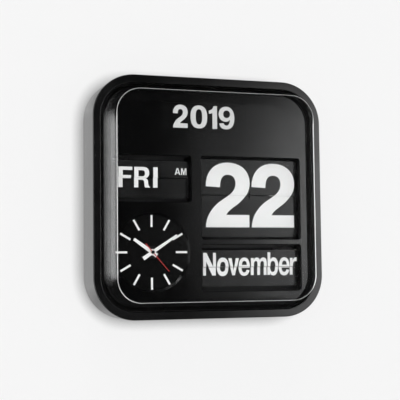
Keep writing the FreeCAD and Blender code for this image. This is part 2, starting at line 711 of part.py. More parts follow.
def chassis():
    front, back = CHASSIS_D
    fence = square_slab(FENCE_HALF[1], FLANGE_D[1], front + SINK)
    fence = fence.cut(square_slab(FENCE_HALF[0], FLANGE_D[1] - OVER, front + OVER))
    pieces = [square_slab(CHASSIS_HALF, front, back), fence]
    pieces.append(post(DIAL_X, DIAL_Z, DIAL_SEAT_R, DIAL_FACE_D + DIAL_THICK, front + SINK))
    rear_posts = four(REAR_POST_AT, REAR_POST_AT)
    pieces += [post(x, z, REAR_POST_R, back - SINK, REAR_D[0]) for x, z in rear_posts]
    pieces += [post(x, z, FACE_POST_R, back - SINK, BOARD_D[0]) for x, z in BOARD_POSTS]
    body = fuse(pieces)

    cuts = [around_boss(x, z, CHASSIS_BOSS_GAP, FLANGE_D[1] - OVER, front) for x, z in boss_places()]
    through = (front - OVER, back + OVER)
    cuts += [post(x, z, THREAD_R, *through) for x, z in boss_places() + face_screw_places()]
    cuts += [post(x, z, 1.2, REAR_POST_PILOT_D, REAR_D[0] + OVER) for x, z in rear_posts]
    cuts += [post(x, z, 1.0, BOARD_POST_PILOT_D, BOARD_D[0] + OVER) for x, z in BOARD_POSTS]
    cuts.append(post(DIAL_X, DIAL_Z, BUSH_R + 2 * RUNNING_GAP, DIAL_FACE_D, back + OVER))
    small_screws = tray_leg_places()
    for unit in UNITS:
        w = unit.window
        sides = geared(unit, 0.6, 5.5) + plain(unit, 0.6, 2.4)
        cuts.append(block(min(sides), max(sides), *through, w.z0 - 0.6, w.z1 + 0.6))
        small_screws += frame_screw_places(unit)
    blind = (front + SMALL_SCREW_COVER, back + OVER)
    cuts += [post(x, z, SMALL_SCREW_R, *blind) for x, z in small_screws]
    return cut(body, cuts)


# ---- battery compartment ------------------------------------------------------------
def cell_rows():
    middle = (TRAY[2] + TRAY[3]) / 2
    return [middle - CELL_PITCH / 2, middle + CELL_PITCH / 2]


def cell_depth():
    return TRAY_D[0] + TRAY_WALL + CELL_R


def cell_start():
    return TRAY[1] - TRAY_WALL - CONTACT - CELL_LENGTH


def battery_tray():
    x0, x1, z0, z1 = TRAY
    t = TRAY_WALL
    front, back = TRAY_D
    shell = block(x0, x1, front, back, z0, z1)
    shell = shell.cut(block(x0 + t, x1 - t, front + t, back + OVER, z0 + t, z1 - t))
    middle = (z0 + z1) / 2
    rib_height, rib_half = TRAY_RIB
    pieces = [shell, block(x0, x1, front, front + rib_height, middle - rib_half, middle + rib_half)]
    leg_x, leg_z = TRAY_LEG_HALF
    for x, z in tray_leg_places():
        pieces.append(block(x - leg_x, x + leg_x, CHASSIS_D[1], front + SINK, z - leg_z, z + leg_z))
    span = (CHASSIS_D[1] - OVER, front + t + OVER)
    holes = [post(x, z, SMALL_SCREW_R, *span) for x, z in tray_leg_places()]
    return cut(fuse(pieces), holes)


def battery_cells():
    start = cell_start()
    shoulder = start + CELL_LENGTH - CELL_NUB
    cells = []
    for z in cell_rows():
        can = bar(start, shoulder, cell_depth(), z, CELL_R)
        nub = bar(shoulder - SINK, start + CELL_LENGTH, cell_depth(), z, CELL_NUB_R)
        cells.append(fuse([can, nub]))
    return Part.makeCompound(cells)


def battery_contacts():
    """Two plates at each end of the tray."""
    plates = []
    half = CONTACT_HALF
    x0, x1 = TRAY[0] + TRAY_WALL, TRAY[1] - TRAY_WALL - CONTACT
    for z in cell_rows():
        for x in (x0, x1):
            plates.append(block(x, x + CONTACT, cell_depth() - half, cell_depth() + half,
                                z - half, z + half))
    return Part.makeCompound(plates)


def battery_springs():
    """Bowed strips between the contact plates and the flat ends of the cells."""
    x0 = TRAY[0] + TRAY_WALL + CONTACT
    bow = cell_start() - RUNNING_GAP - x0
    y = y_of(cell_depth())
    length = SPRING_LENGTH_HALF
    strips = []
    for z in cell_rows():
        low = z - SPRING_HALF
        outer = Part.Arc(Vec(x0, y - length, low), Vec(x0 + bow, y, low), Vec(x0, y + length, low))
        t = SPRING_THICK
        inner = Part.Arc(Vec(x0, y + length - t, low), Vec(x0 + bow - t, y, low),
                         Vec(x0, y - length + t, low))
        edges = [outer.toShape(),
                 Part.makeLine(Vec(x0, y + length, low), Vec(x0, y + length - t, low)),
                 inner.toShape(),
                 Part.makeLine(Vec(x0, y - length + t, low), Vec(x0, y - length, low))]
        strips.append(Part.Face(Part.Wire(edges)).extrude(Vec(0, 0, 2 * SPRING_HALF)))
    return Part.makeCompound(strips)


def door_axis():
    """Depth and height of the battery door's hinge line."""
    thick = REAR_D[1] - REAR_D[0]
    return REAR_D[0] + thick / 2, DOOR[2] + DOOR_GAP + thick / 2


def battery_door():
    x0, x1, z0, z1 = DOOR
    g = DOOR_GAP
    d, z = door_axis()
    leaf = block(x0 + g, x1 - g, *REAR_D, z, z1 - g)
    roll = bar(x0 + g, x1 - g, d, z, (REAR_D[1] - REAR_D[0]) / 2)
    pins = bar(x0 - DOOR_PIN_REACH, x1 + DOOR_PIN_REACH, d, z, DOOR_PIN_R)
    middle = (x0 + x1) / 2
    half, inset, r = DOOR_GRIP
    grip = bar(middle - half, middle + half, REAR_D[1] + r / 2, z1 - inset, r)
    return fuse([leaf, roll, pins]).cut(grip)


# ---- control ------------------------------------------------------------------------
def control_board():
    """Circuit board with its soldered processor, capacitor and crystal."""
    x0, x1, z0, z1 = BOARD
    front, back = BOARD_D
    chip_x0, chip_x1, chip_z0, chip_z1, chip_height = CHIP
    can_x, can_z, can_r, can_height = CAPACITOR
    soldered = [
        block(chip_x0, chip_x1, back, back + chip_height, chip_z0, chip_z1),
        post(can_x, can_z, can_r, back, back + can_height),
        slab(*CRYSTAL[:5], back, back + CRYSTAL[5]),
    ]
    holes = [post(x, z, THREAD_R, front - OVER, back + OVER) for x, z in BOARD_POSTS]
    return cut(fuse([slab(x0, x1, z0, z1, BOARD_R, front, back)] + soldered), holes)


def switches():
    """One push switch on the board behind each button."""
    d = BOARD_D[1]
    s = SWITCH_HALF
    top = d + SWITCH_HEIGHT
    pieces = []
    for x in BUTTONS.values():
        body = block(x - s, x + s, d, top, BUTTON_Z - s, BUTTON_Z + s)
        key = post(x, BUTTON_Z, SWITCH_KEY_R, top - SINK, top + SWITCH_KEY)
        pieces.append(fuse([body, key]))
    return Part.makeCompound(pieces)


def set_button(x):
    flange_r, flange_front, flange_back = BUTTON_FLANGE
    crown = post(x, BUTTON_Z, BUTTON_R, flange_front, REAR_D[1] + BUTTON_PROUD)
    return fuse([crown, post(x, BUTTON_Z, flange_r, flange_front, flange_back)])


# ---- rear ---------------------------------------------------------------------------
def keyhole(d0, d1):
    half = KEYHOLE_SLOT / 2
    slot = block(-half, half, d0, d1, KEYHOLE_Z, KEYHOLE_TOP)
    return fuse([post(0, KEYHOLE_Z, KEYHOLE_R, d0, d1), slot, post(0, KEYHOLE_TOP, half, d0, d1)])


def rear_cover():
    d0, d1 = REAR_D[0] - OVER, REAR_D[1] + OVER
    x0, x1, z0, z1 = DOOR
    hinge_d, hinge_z = door_axis()
    pin_reach = DOOR_PIN_REACH + DOOR_GAP
    cuts = [post(x, z, SCREW_HOLE_R, d0, d1) for x, z in four(REAR_POST_AT, REAR_POST_AT)]
    cuts.append(block(x0, x1, d0, d1, z0, z1))
    cuts.append(bar(x0 - pin_reach, x1 + pin_reach, hinge_d, hinge_z, DOOR_PIN_R + RUNNING_GAP))
    cuts.append(post(DIAL_X, DIAL_Z - KNOB_DROP, KNOB_HOLE_R, d0, d1))
    cuts += [post(x, BUTTON_Z, BUTTON_R + BUTTON_GAP, d0, d1) for x in BUTTONS.values()]
    cuts.append(slab(*HEAD_ROOM, HEAD_ROOM_R, d0, d1))
    cuts += [post(0, z, PILOT_R, d0, d1) for z in HANGER_SCREW_Z]
    vent_x0, vent_x1, vent_z = VENT
    for row in range(VENT_SLOTS):
        z = vent_z + VENT_PITCH * row
        cuts.append(slab(vent_x0, vent_x1, z, z + VENT_HEIGHT, VENT_HEIGHT * 0.495, d0, d1))
    return cut(square_slab(REAR_HALF, *REAR_D), cuts)


def hanger_plate():
    d0, d1 = HANGER_D[0] - OVER, HANGER_D[1] + OVER
    tools = [keyhole(d0, d1)] + [post(0, z, SCREW_HOLE_R, d0, d1) for z in HANGER_SCREW_Z]
    return cut(slab(*HANGER, HANGER_R, *HANGER_D), tools)


def wall_bumpers():
    return Part.makeCompound([post(x, z, BUMPER_R, REAR_D[1], CASE_DEPTH + BUMPER_PROUD)
                              for x, z in four(BUMPER_X, BUMPER_Z)])


# ---- screws -------------------------------------------------------------------------
def screws(places, head_d, tip_d, r, head_r, head_h):
    return Part.makeCompound([screw(x, z, head_d, tip_d, r, head_r, head_h) for x, z in places])


def frame_screws():
    places = [place for unit in UNITS for place in frame_screw_places(unit)]
    tip = CHASSIS_D[0] + SMALL_SCREW_COVER
    return screws(places, CHASSIS_D[1] + FOOT_THICK, tip, SMALL_SCREW_R, 1.7, 1.0)


# ---- export -------------------------------------------------------------------------
def all_parts():
    parts = {
        "case_shell": case_shell(),
        "clear_cover": clear_cover(),
        "face_plate": face_plate(),
        "year_card": year_card(),
        "dial_disc": dial_disc(),
        "hour_markers": hour_markers(),
        "hub_cap": hub_cap(),
        "second_pin": hand_tube("second"),
        "hour_tube": hand_tube("hour"),
        "minute_tube": hand_tube("minute"),
        "movement": movement(),
        "movement_nut": movement_nut(),
        "time_knob": time_knob(),
        "chassis": chassis(),
        "battery_tray": battery_tray(),
        "battery_cells": battery_cells(),
        "battery_contacts": battery_contacts(),
        "battery_springs": battery_springs(),
        "battery_door": battery_door(),
        "control_board": control_board(),
        "switches": switches(),
        "rear_cover": rear_cover(),
        "hanger_plate": hanger_plate(),
        "wall_bumpers": wall_bumpers(),
        "hanger_screws": screws([(0, z) for z in HANGER_SCREW_Z],
                                HANGER_D[1], REAR_D[0] - 2, PILOT_R, 2.4, 0.7),
        "chassis_screws": screws(boss_places(), CHASSIS_D[1], 5.5, PILOT_R, 1.9, 1.3),
        "face_screws": screws(face_screw_places(), CHASSIS_D[1], 9.2, PILOT_R, 2.2, 1.3),
        "frame_screws": frame_screws(),
        "cover_screws": screws(four(REAR_POST_AT, REAR_POST_AT), REAR_D[1], 26.0, 1.2, 2.8, 1.2),
        "board_screws": screws(BOARD_POSTS, BOARD_D[1], 24.0, 1.0, 2.2, 1.2),
    }
    for kind in HANDS:
        parts[kind + "_hand"] = hand(kind)
    for unit in UNITS:
        parts[unit.name + "_frame"] = unit_frame(unit)
        parts[unit.name + "_spool"] = spool(unit)
        parts[unit.name + "_pinion"] = pinion(unit)
        parts[unit.name + "_motor"] = motor(unit)
        parts[unit.name + "_leaf"] = front_leaf(unit)
        parts[unit.name + "_upper_leaves"] = upper_leaves(unit)
        parts[unit.name + "_lower_leaves"] = lower_leaves(unit)
        parts[unit.name + "_rear_leaves"] = rear_leaves(unit)
    for name, x in BUTTONS.items():
        parts[name + "_button"] = set_button(x)
    return parts


os.makedirs("parts", exist_ok=True)
for node, shape in all_parts().items():
    shape.translated(Vec(0, 0, -KEYHOLE_TOP)).exportStep("parts/" + node + ".step")
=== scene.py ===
"""Dresses the flip-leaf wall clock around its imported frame. Metres, in the frame's own axes:
X to the viewer's right, Y back to the wall, Z up. Depths, written d, are millimetres
behind the front rim of the case, and x and z are millimetres from its middle."""
import json
import math
import re

import bmesh
import bpy
from mathutils import Matrix, Vector, geometry


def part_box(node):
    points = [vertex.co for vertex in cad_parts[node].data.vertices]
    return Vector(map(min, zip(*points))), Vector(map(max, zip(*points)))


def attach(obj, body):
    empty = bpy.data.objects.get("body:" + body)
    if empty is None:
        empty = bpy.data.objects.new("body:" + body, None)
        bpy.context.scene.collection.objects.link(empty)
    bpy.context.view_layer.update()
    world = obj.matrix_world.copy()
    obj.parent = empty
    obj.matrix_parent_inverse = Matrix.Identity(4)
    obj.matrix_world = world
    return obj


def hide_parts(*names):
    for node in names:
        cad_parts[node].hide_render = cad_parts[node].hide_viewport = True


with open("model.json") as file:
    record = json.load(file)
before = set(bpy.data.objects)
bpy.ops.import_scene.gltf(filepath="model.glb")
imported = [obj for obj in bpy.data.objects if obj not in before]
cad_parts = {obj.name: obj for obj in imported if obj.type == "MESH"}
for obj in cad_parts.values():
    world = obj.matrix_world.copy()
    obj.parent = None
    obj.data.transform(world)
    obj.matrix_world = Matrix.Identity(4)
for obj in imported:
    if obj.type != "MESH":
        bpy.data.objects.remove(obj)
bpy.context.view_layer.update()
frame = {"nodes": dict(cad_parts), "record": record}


# ---- outer case -----------------------------------------------------------------------
# A deep square tray with big round corners, injection moulded in gloss black ABS. Its front
# edge turns inwards as a narrow lip, which holds the foot of the clear cover down.
MM = 0.001
case_low, case_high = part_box("case_shell")
RIM_Y = case_low.y
MIDDLE_Z = (case_low.z + case_high.z) / 2
CASE_HALF = case_high.x / MM
CASE_BACK_D = (case_high.y - RIM_Y) / MM
CORNER_AXIS = 78.0                 # the rounded corners turn about x and z of this much
CORNER_STEPS = 28
CASE_WALL = 3.0
LIP_HALF = 112.3
LIP_THICK = 3.0
EDGE_ROUND = 0.7
LIP_ROUND = 0.6
BACK_CHAMFER = 0.4
BACK_CHAMFER_INSIDE = 0.3
SHARP_ANGLE = 35.0                 # edges sharper than this stay sharp


def at(x, d, z):
    return Vector((x * MM, RIM_Y + d * MM, MIDDLE_Z + z * MM))


def arc(centre_half, centre_d, r, start, end, steps=6):
    """Points of a rounded edge in a profile of (half width, depth) pairs."""
    turns = [math.radians(start + (end - start) * i / steps) for i in range(steps + 1)]
    return [(centre_half + r * math.cos(a), centre_d + r * math.sin(a)) for a in turns]


def rounded_square(half):
    """Outline of a square whose corners all turn about the same four axes."""
    r = half - CORNER_AXIS
    points = []
    for quarter in range(4):
        corner = Vector((CORNER_AXIS, CORNER_AXIS))
        corner.rotate(Matrix.Rotation(math.radians(90 * quarter), 2))
        for i in range(CORNER_STEPS + 1):
            a = math.radians(90 * quarter + 90 * i / CORNER_STEPS)
            points.append((corner.x + r * math.cos(a), corner.y + r * math.sin(a)))
    return points


def add_to_scene(name, data):
    thing = bpy.data.objects.new(name, data)
    bpy.context.scene.collection.objects.link(thing)
    return thing


def finished(name, bm, *materials):
    """The object that a bmesh has been built up for."""
    mesh = bpy.data.meshes.new(name)
    bm.to_mesh(mesh)
    bm.free()
    for material in materials:
        mesh.materials.append(material)
    return add_to_scene(name, mesh)


def smooth(thing):
    """Shade the rounded edges smooth and let the flat faces stay flat."""
    thing.data.shade_smooth()
    thing.data.set_sharp_from_angle(angle=math.radians(SHARP_ANGLE))
    weighted = thing.modifiers.new("even_shading", "WEIGHTED_NORMAL")
    weighted.keep_sharp = True
    return thing


def swept_ring(name, profile, materials, picks=(0,), capped=False):
    """A profile of (half width, depth) carried round the rounded square. The faces after
    each profile point take the material picked for it, in turn. A capped sweep closes its
    first and last loops with a flat face; otherwise the last loop joins the first."""
    bm = bmesh.new()
    loops = []
    for half, d in profile:
        loops.append([bm.verts.new(at(x, d, z)) for x, z in rounded_square(half)])
    joins = list(zip(loops, loops[1:] if capped else loops[1:] + loops[:1]))
    for k, (loop, following) in enumerate(joins):
        for i, vert in enumerate(loop):
            j = (i + 1) % len(loop)
            face = bm.faces.new((vert, following[i], following[j], loop[j]))
            face.material_index = picks[k % len(picks)]
    if capped:
        for loop in (loops[0], loops[-1]):
            bm.faces.new(loop).material_index = picks[0]
    bmesh.ops.recalc_face_normals(bm, faces=bm.faces)
    return smooth(finished(name, bm, *materials))


class Value:
    """A socket of the node tree being built. Sums, differences, products, powers and abs()
    of values add Math nodes, and node() adds any other node."""
    tree = None

    def __init__(self, socket):
        self.socket = socket

    @classmethod
    def node(cls, kind, settings=None, inputs=None, out=0):
        made = cls.tree.nodes.new(kind)
        for key, value in (settings or {}).items():
            setattr(made, key, value)
        for key, value in (inputs or {}).items():
            if isinstance(value, Value):
                cls.tree.links.new(value.socket, made.inputs[key])
            else:
                made.inputs[key].default_value = value
        return Value(made.outputs[out]) if made.outputs else None

    def maths(self, operation, first, second):
        return Value.node("ShaderNodeMath", {"operation": operation}, {0: first, 1: second})

    def __add__(self, other):
        return self.maths("ADD", self, other)

    def __radd__(self, other):
        return self.maths("ADD", other, self)

    def __sub__(self, other):
        return self.maths("SUBTRACT", self, other)

    def __rsub__(self, other):
        return self.maths("SUBTRACT", other, self)

    def __mul__(self, other):
        return self.maths("MULTIPLY", self, other)

    def __rmul__(self, other):
        return self.maths("MULTIPLY", other, self)

    def __pow__(self, other):
        return self.maths("POWER", self, other)

    def __abs__(self):
        return Value.node("ShaderNodeMath", {"operation": "ABSOLUTE"}, {0: self})


def new_material(name):
    made = bpy.data.materials.new(name)
    made.use_nodes = True
    made.node_tree.nodes.clear()
    Value.tree = made.node_tree
    return made


def where():
    return Value.node("ShaderNodeTexCoord", out="Object")


def stretched(x, y, z):
    """Object position with each axis scaled, for grain that runs one way."""
    return Value.node("ShaderNodeVectorMath", {"operation": "MULTIPLY"},
                      {0: where(), 1: (x, y, z)})


def noise(scale, detail=3.0, rough=0.5, vector=None):
    """Cloudy noise between 0 and 1; scale is in cells per metre."""
    return Value.node("ShaderNodeTexNoise", {"noise_dimensions": "3D"}, {
        "Vector": vector or where(), "Scale": scale, "Detail": detail, "Roughness": rough})


def opaque(colour):
    """A colour as a socket takes it: a value as it is, three numbers with their alpha."""
    return colour if isinstance(colour, Value) else (*colour, 1.0)


def blend_colours(mask, first, second):
    """The first colour where the mask is 0, the second where it is 1."""
    return Value.node("ShaderNodeMix", {"data_type": "RGBA"},
                      {0: mask, 6: opaque(first), 7: opaque(second)}, out=2)


def clamp_range(value, low, high, to_low=0.0, to_high=1.0, ease="LINEAR"):
    """to_low up to where the value is low, to_high from where it is high."""
    return Value.node("ShaderNodeMapRange", {"interpolation_type": ease, "clamp": True}, {
        "Value": value, "From Min": low, "From Max": high, "To Min": to_low, "To Max": to_high})


def spread(cloud, low, high):
    """Cloudy noise stretched to fill a range, such as that of a roughness."""
    return clamp_range(cloud, 0.3, 0.7, low, high)


def bump(height, depth):
    return Value.node("ShaderNodeBump", None, {"Height": height, "Distance": depth})


def output(surface):
    Value.node("ShaderNodeOutputMaterial", None, {"Surface": surface})


def finish(colour, rough, normal, **fixed):
    """Principled surface to the material's output. fixed holds the sockets that are the
    same all over it."""
    inputs = {"Base Color": opaque(colour), "Roughness": rough, "Normal": normal}
    inputs.update({key.replace("_", " "): value for key, value in fixed.items()})
    output(Value.node("ShaderNodeBsdfPrincipled", None, inputs))


case_black = new_material("case_gloss_black")
smudge = noise(18, 4)
finish(blend_colours(smudge, (0.0022, 0.0022, 0.0024), (0.004, 0.004, 0.0042)),
       clamp_range(smudge, 0.35, 0.7, 0.09, 0.17), bump(noise(60, 2), 0.00001), IOR=1.56)

case_profile = (
    arc(CASE_HALF - EDGE_ROUND, EDGE_ROUND, EDGE_ROUND, 0, -90)
    + arc(LIP_HALF + LIP_ROUND, LIP_ROUND, LIP_ROUND, -90, -180, 4)
    + [(LIP_HALF, LIP_THICK), (CASE_HALF - CASE_WALL, LIP_THICK),
       (CASE_HALF - CASE_WALL, CASE_BACK_D - BACK_CHAMFER_INSIDE),
       (CASE_HALF - CASE_WALL + BACK_CHAMFER_INSIDE, CASE_BACK_D),
       (CASE_HALF - BACK_CHAMFER, CASE_BACK_D), (CASE_HALF, CASE_BACK_D - BACK_CHAMFER)]
)
case = swept_ring("outer_case", case_profile, [case_black])
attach(case, "clock_case")
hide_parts("case_shell")

# Eight small square bosses on the inside of its walls take the screws of the chassis.
BOSS_AT = 114.9                    # the screws' distance from the middle
BOSS_SPREAD = 50.0                 # and to either side of it
BOSS_HALF = 2.2
BOSS_D = (3.0, 11.8)
BOSS_SUNK = 0.2                    # its root goes this far into the wall

bm = bmesh.new()
for quarter in range(4):
    for side in (-BOSS_SPREAD, BOSS_SPREAD):
        low = at(side - BOSS_HALF, BOSS_D[0], BOSS_AT - BOSS_HALF)
        high = at(side + BOSS_HALF, BOSS_D[1], CASE_HALF - CASE_WALL + BOSS_SUNK)
        cube = bmesh.ops.create_cube(bm, matrix=Matrix.Translation((low + high) / 2)
                                     @ Matrix.Diagonal((*(high - low), 1.0)))
        bmesh.ops.rotate(bm, verts=cube["verts"], cent=at(0, 0, 0),
                         matrix=Matrix.Rotation(math.radians(90 * quarter), 3, "Y"))
bosses = finished("case_bosses", bm, case_black)
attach(bosses, "clock_case")
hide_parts("case_shell")


# ---- clear cover ----------------------------------------------------------------------
# A raised window of clear polycarbonate, 2 mm thick, moulded as a shallow tray with sloping
# walls. A fine white line is painted round its front edge as a painted highlight, with painted
# shade beside it on the right and painted light on its flat left wall.
cover_low, cover_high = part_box("clear_cover")
COVER_FRONT_D = (cover_low.y - RIM_Y) / MM
COVER_FOOT_D = (cover_high.y - RIM_Y) / MM
COVER_FLANGE = cover_high.x / MM
FLANGE_FRONT_D = 3.0
COVER_FRONT_HALF = 102.4
COVER_FOOT_HALF = 110.4
COVER_PANE = 1.6
INNER_ROUND = 0.4
COVER_WALL = 2.0
COVER_SLOPE = (COVER_FOOT_HALF - COVER_FRONT_HALF) / (FLANGE_FRONT_D - COVER_FRONT_D)
COVER_BEVEL = 1.2
PANE_MIDDLE_HALF = 79.0            # the pane is one flat face as far as this
EDGE_FROM_HALF = 99.1              # the strip of painted highlight and shade begins here on the pane
EDGE_WALL_DEPTH = 4.0              # and runs this far down the wall
CLEAR_GLOSS_AT_FRONT = 0.001
CLEAR_GLOSS_FROM = 0.12
CLEAR_GLOSS_CURVE = 1.9
WALL_PAINTED_LIGHT = (0.12, 0.2)            # painted light at the wall's foot and further forward
WALL_PAINTED_LIGHT_HALF = (108.3, 107.0)    # where one becomes the other
WALL_CLEAR_HALF = (109.8, 109.2)   # unpainted beyond the first, painted light within the second
EDGE_LINE_HALF = (101.95, 102.55)  # the painted highlight line's inner and outer limits on the bevel
EDGE_LINE_FADE = 0.15
EDGE_LINE_WIDER = (0.7, 0.5)       # inwards and outwards on the right, where the softbox is
EDGE_LINE_LOWER = 0.6              # further out along the bottom
RIGHT_LINE_BOTTOM = 90.0           # the right line runs on into the lower corner
EDGE_SHADE_HALF = 99.3             # painted shade: the right edge is painted black from here to the line
EDGE_SHADE_FADE = (0.3, 0.2)
EDGE_HIGHLIGHT = 0.52                   # painted highlight in the left and upper corners and along the top
EDGE_HIGHLIGHT_LEFT = 0.44              # this much more along the left, and so on
EDGE_HIGHLIGHT_RIGHT = 0.48
EDGE_HIGHLIGHT_LOWER = 0.4
SIDE_FROM, SIDE_TO = 96.0, 99.0    # between these the sides' own marks set in
SIDE_FADE = 5.0                    # they fade over this much above and below their ends


def position(axis):
    """Millimetres along one axis, counted from the middle of the case."""
    part = Value.node("ShaderNodeSeparateXYZ", None, {0: where()}, out=axis)
    return (part - (0.0, RIM_Y, MIDDLE_Z)[axis]) * (1 / MM)


def half_width():
    """How far out a point lies, as the half width of the rounded square through it."""
    beyond = []
    for axis in (0, 2):
        off = abs(position(axis))
        beyond.append(off.maths("MAXIMUM", off - CORNER_AXIS, 0.0))
    return CORNER_AXIS + (beyond[0] ** 2 + beyond[1] ** 2) ** 0.5


def flat_side(sign, bottom=CORNER_AXIS):
    """1 on the straight part of the left (-1) or right (1) edge, 0 in the corners. It ends
    bottom millimetres below the middle."""
    height = position(2)
    return (clamp_range(sign * position(0), SIDE_FROM, SIDE_TO)
            * clamp_range(height, CORNER_AXIS + SIDE_FADE, CORNER_AXIS - SIDE_FADE)
            * clamp_range(height, -bottom - SIDE_FADE, -bottom + SIDE_FADE))


def from_outside():
    """1 where the surface is looked at from in front, 0 where light reaches it from inside."""
    return 1.0 - Value.node("ShaderNodeNewGeometry", out="Backfacing")


def painted_edge_highlight():
    """The share of white painted on the edge as a painted highlight, most along its flat sides.
    """
    left = flat_side(-1.0)
    right = flat_side(1.0, RIGHT_LINE_BOTTOM)
    right_end = clamp_range(position(0), CORNER_AXIS, SIDE_FROM)
    low = clamp_range(position(2), -CORNER_AXIS, -SIDE_TO)
    out = half_width() - EDGE_LINE_LOWER * low * (1.0 - right_end)
    inner = out + EDGE_LINE_WIDER[0] * right - EDGE_LINE_HALF[0]
    outer = EDGE_LINE_HALF[1] + EDGE_LINE_WIDER[1] * right - out
    painted_light = (EDGE_HIGHLIGHT + EDGE_HIGHLIGHT_LEFT * left + EDGE_HIGHLIGHT_RIGHT * right_end
            + EDGE_HIGHLIGHT_LOWER * low)
    return (clamp_range(inner, 0.0, EDGE_LINE_FADE) * clamp_range(outer, 0.0, EDGE_LINE_FADE)
            * painted_light * spread(noise(120, 2), 0.95, 1.0) * from_outside())


def painted_edge_shade():
    """Painted shade: 1 on the strip of the right edge that is painted black, up to the highlight
    line.
    """
    out = half_width()
    line_from = EDGE_LINE_HALF[0] - EDGE_LINE_WIDER[0]
    return (flat_side(1.0) * from_outside()
            * clamp_range(out, EDGE_SHADE_HALF, EDGE_SHADE_HALF + EDGE_SHADE_FADE[0])
            * clamp_range(out, line_from, line_from - EDGE_SHADE_FADE[1]))


def painted_wall_light():
    """Painted light: a faint white painted on the flat left wall, thinner at the wall's foot."""
    out = half_width()
    wall_light_share = clamp_range(out, *WALL_PAINTED_LIGHT_HALF, *WALL_PAINTED_LIGHT) * clamp_range(out, *WALL_CLEAR_HALF)
    return flat_side(-1.0) * wall_light_share * spread(noise(60, 2), 0.92, 1.0)


def clear_material(name, painted_light=None, shade=None):
    """Clear plastic, with painted white light where haze() is 1 and painted black shade where
    shade() is 1.
    """
    made = new_material(name)
    facing = Value.node("ShaderNodeLayerWeight", None, {"Blend": 0.5}, out="Facing")
    slant = clamp_range(facing, CLEAR_GLOSS_FROM, 1.0) ** CLEAR_GLOSS_CURVE
    mirror = CLEAR_GLOSS_AT_FRONT + (1 - CLEAR_GLOSS_AT_FRONT) * slant
    through = Value.node("ShaderNodeBsdfTransparent", None, {"Color": (0.985, 0.987, 0.987, 1.0)})
    gloss = Value.node("ShaderNodeBsdfPrincipled", None, {
        "Base Color": (1.0, 1.0, 1.0, 1.0), "Metallic": 1.0,
        "Roughness": spread(noise(30, 3), 0.015, 0.05)})
    shader = Value.node("ShaderNodeMixShader", None, {0: mirror, 1: through, 2: gloss})
    # A white surface mixed in as painted light where haze() is 1.
    if painted_light:
        glow = Value.node("ShaderNodeBsdfPrincipled", None, {
            "Base Color": (0.96, 0.97, 0.97, 1.0), "Roughness": 0.35})
        shader = Value.node("ShaderNodeMixShader", None, {0: painted_light(), 1: shader, 2: glow})
    # A black surface mixed in as painted shade where shade() is 1.
    if shade:
        dark = Value.node("ShaderNodeBsdfPrincipled", None, {
            "Base Color": (0.003, 0.003, 0.003, 1.0), "Roughness": 0.5,
            "Specular IOR Level": 0.1})
        shader = Value.node("ShaderNodeMixShader", None, {0: shade(), 1: shader, 2: dark})
    output(shader)
    return made


clear = clear_material("clear_polycarbonate")
# The front edge strip takes a painted highlight line and, on the right, painted shade.
clear_edge = clear_material("clear_edge_painted_highlight", painted_edge_highlight, painted_edge_shade)
# The flat left wall takes painted light.
clear_wall = clear_material("clear_side_wall_painted_light", painted_wall_light)

lean = math.atan(COVER_SLOPE)
bevel_half = COVER_FRONT_HALF - COVER_BEVEL * (1 - math.sin(lean)) / math.cos(lean)
pane_back_d = COVER_FRONT_D + COVER_PANE
inner_front = COVER_FRONT_HALF - COVER_WALL / math.cos(lean) + COVER_SLOPE * COVER_PANE
inner_foot = inner_front + COVER_SLOPE * (COVER_FOOT_D - pane_back_d)
pane_edge = (
    [(EDGE_FROM_HALF, COVER_FRONT_D)]
    + arc(bevel_half, COVER_FRONT_D + COVER_BEVEL, COVER_BEVEL, -90, -math.degrees(lean))
    + [(COVER_FRONT_HALF + COVER_SLOPE * EDGE_WALL_DEPTH, COVER_FRONT_D + EDGE_WALL_DEPTH)]
)
cover_profile = (
    [(PANE_MIDDLE_HALF, COVER_FRONT_D)] + pane_edge
    + [(COVER_FOOT_HALF, FLANGE_FRONT_D), (COVER_FLANGE, FLANGE_FRONT_D),
       (COVER_FLANGE, COVER_FOOT_D), (inner_foot, COVER_FOOT_D),
       (inner_front + COVER_SLOPE * INNER_ROUND, pane_back_d + INNER_ROUND)]
    + arc(inner_front - INNER_ROUND, pane_back_d + INNER_ROUND, INNER_ROUND, 0, -90, 4)
    + [(PANE_MIDDLE_HALF, pane_back_d)]
)
picks = [0] + [1] * (len(pane_edge) - 1) + [2]
picks += [0] * (len(cover_profile) - len(picks))
cover = swept_ring("clear_window_cover", cover_profile, [clear, clear_edge, clear_wall], picks,
                   capped=True)
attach(cover, "clock_case")
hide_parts("clear_cover")


# ---- moulded and turned pieces kept from the frame ------------------------------------
# The other pieces are moulded in plastics, turned in brass or stamped in steel, and hang on
# the inner chassis by screws, tabs and shafts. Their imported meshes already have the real
# shape, so they only take their finishes here.
MOTTLE = 25                        # cloudy patches per metre, in colour and gloss
dial_low, dial_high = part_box("dial_disc")
DIAL_X = (dial_low.x + dial_high.x) / 2 / MM
DIAL_Z = ((dial_low.z + dial_high.z) / 2 - MIDDLE_Z) / MM
FLARE_REACH = 39.6                 # radius of the face's flare round the dial
FLARE_POLISH = (0.3, 0.7)          # its gloss sets in between these shares of that radius


def plastic(name, dark, light, rough, grain, depth, **fixed):
    """Moulded plastic: a faint cloudy colour and gloss over a fine grain of its surface."""
    made = new_material(name)
    mottle = noise(MOTTLE, 4)
    finish(blend_colours(mottle, dark, light), spread(mottle, *rough),
           bump(noise(grain, 2), depth), **fixed)
    return made


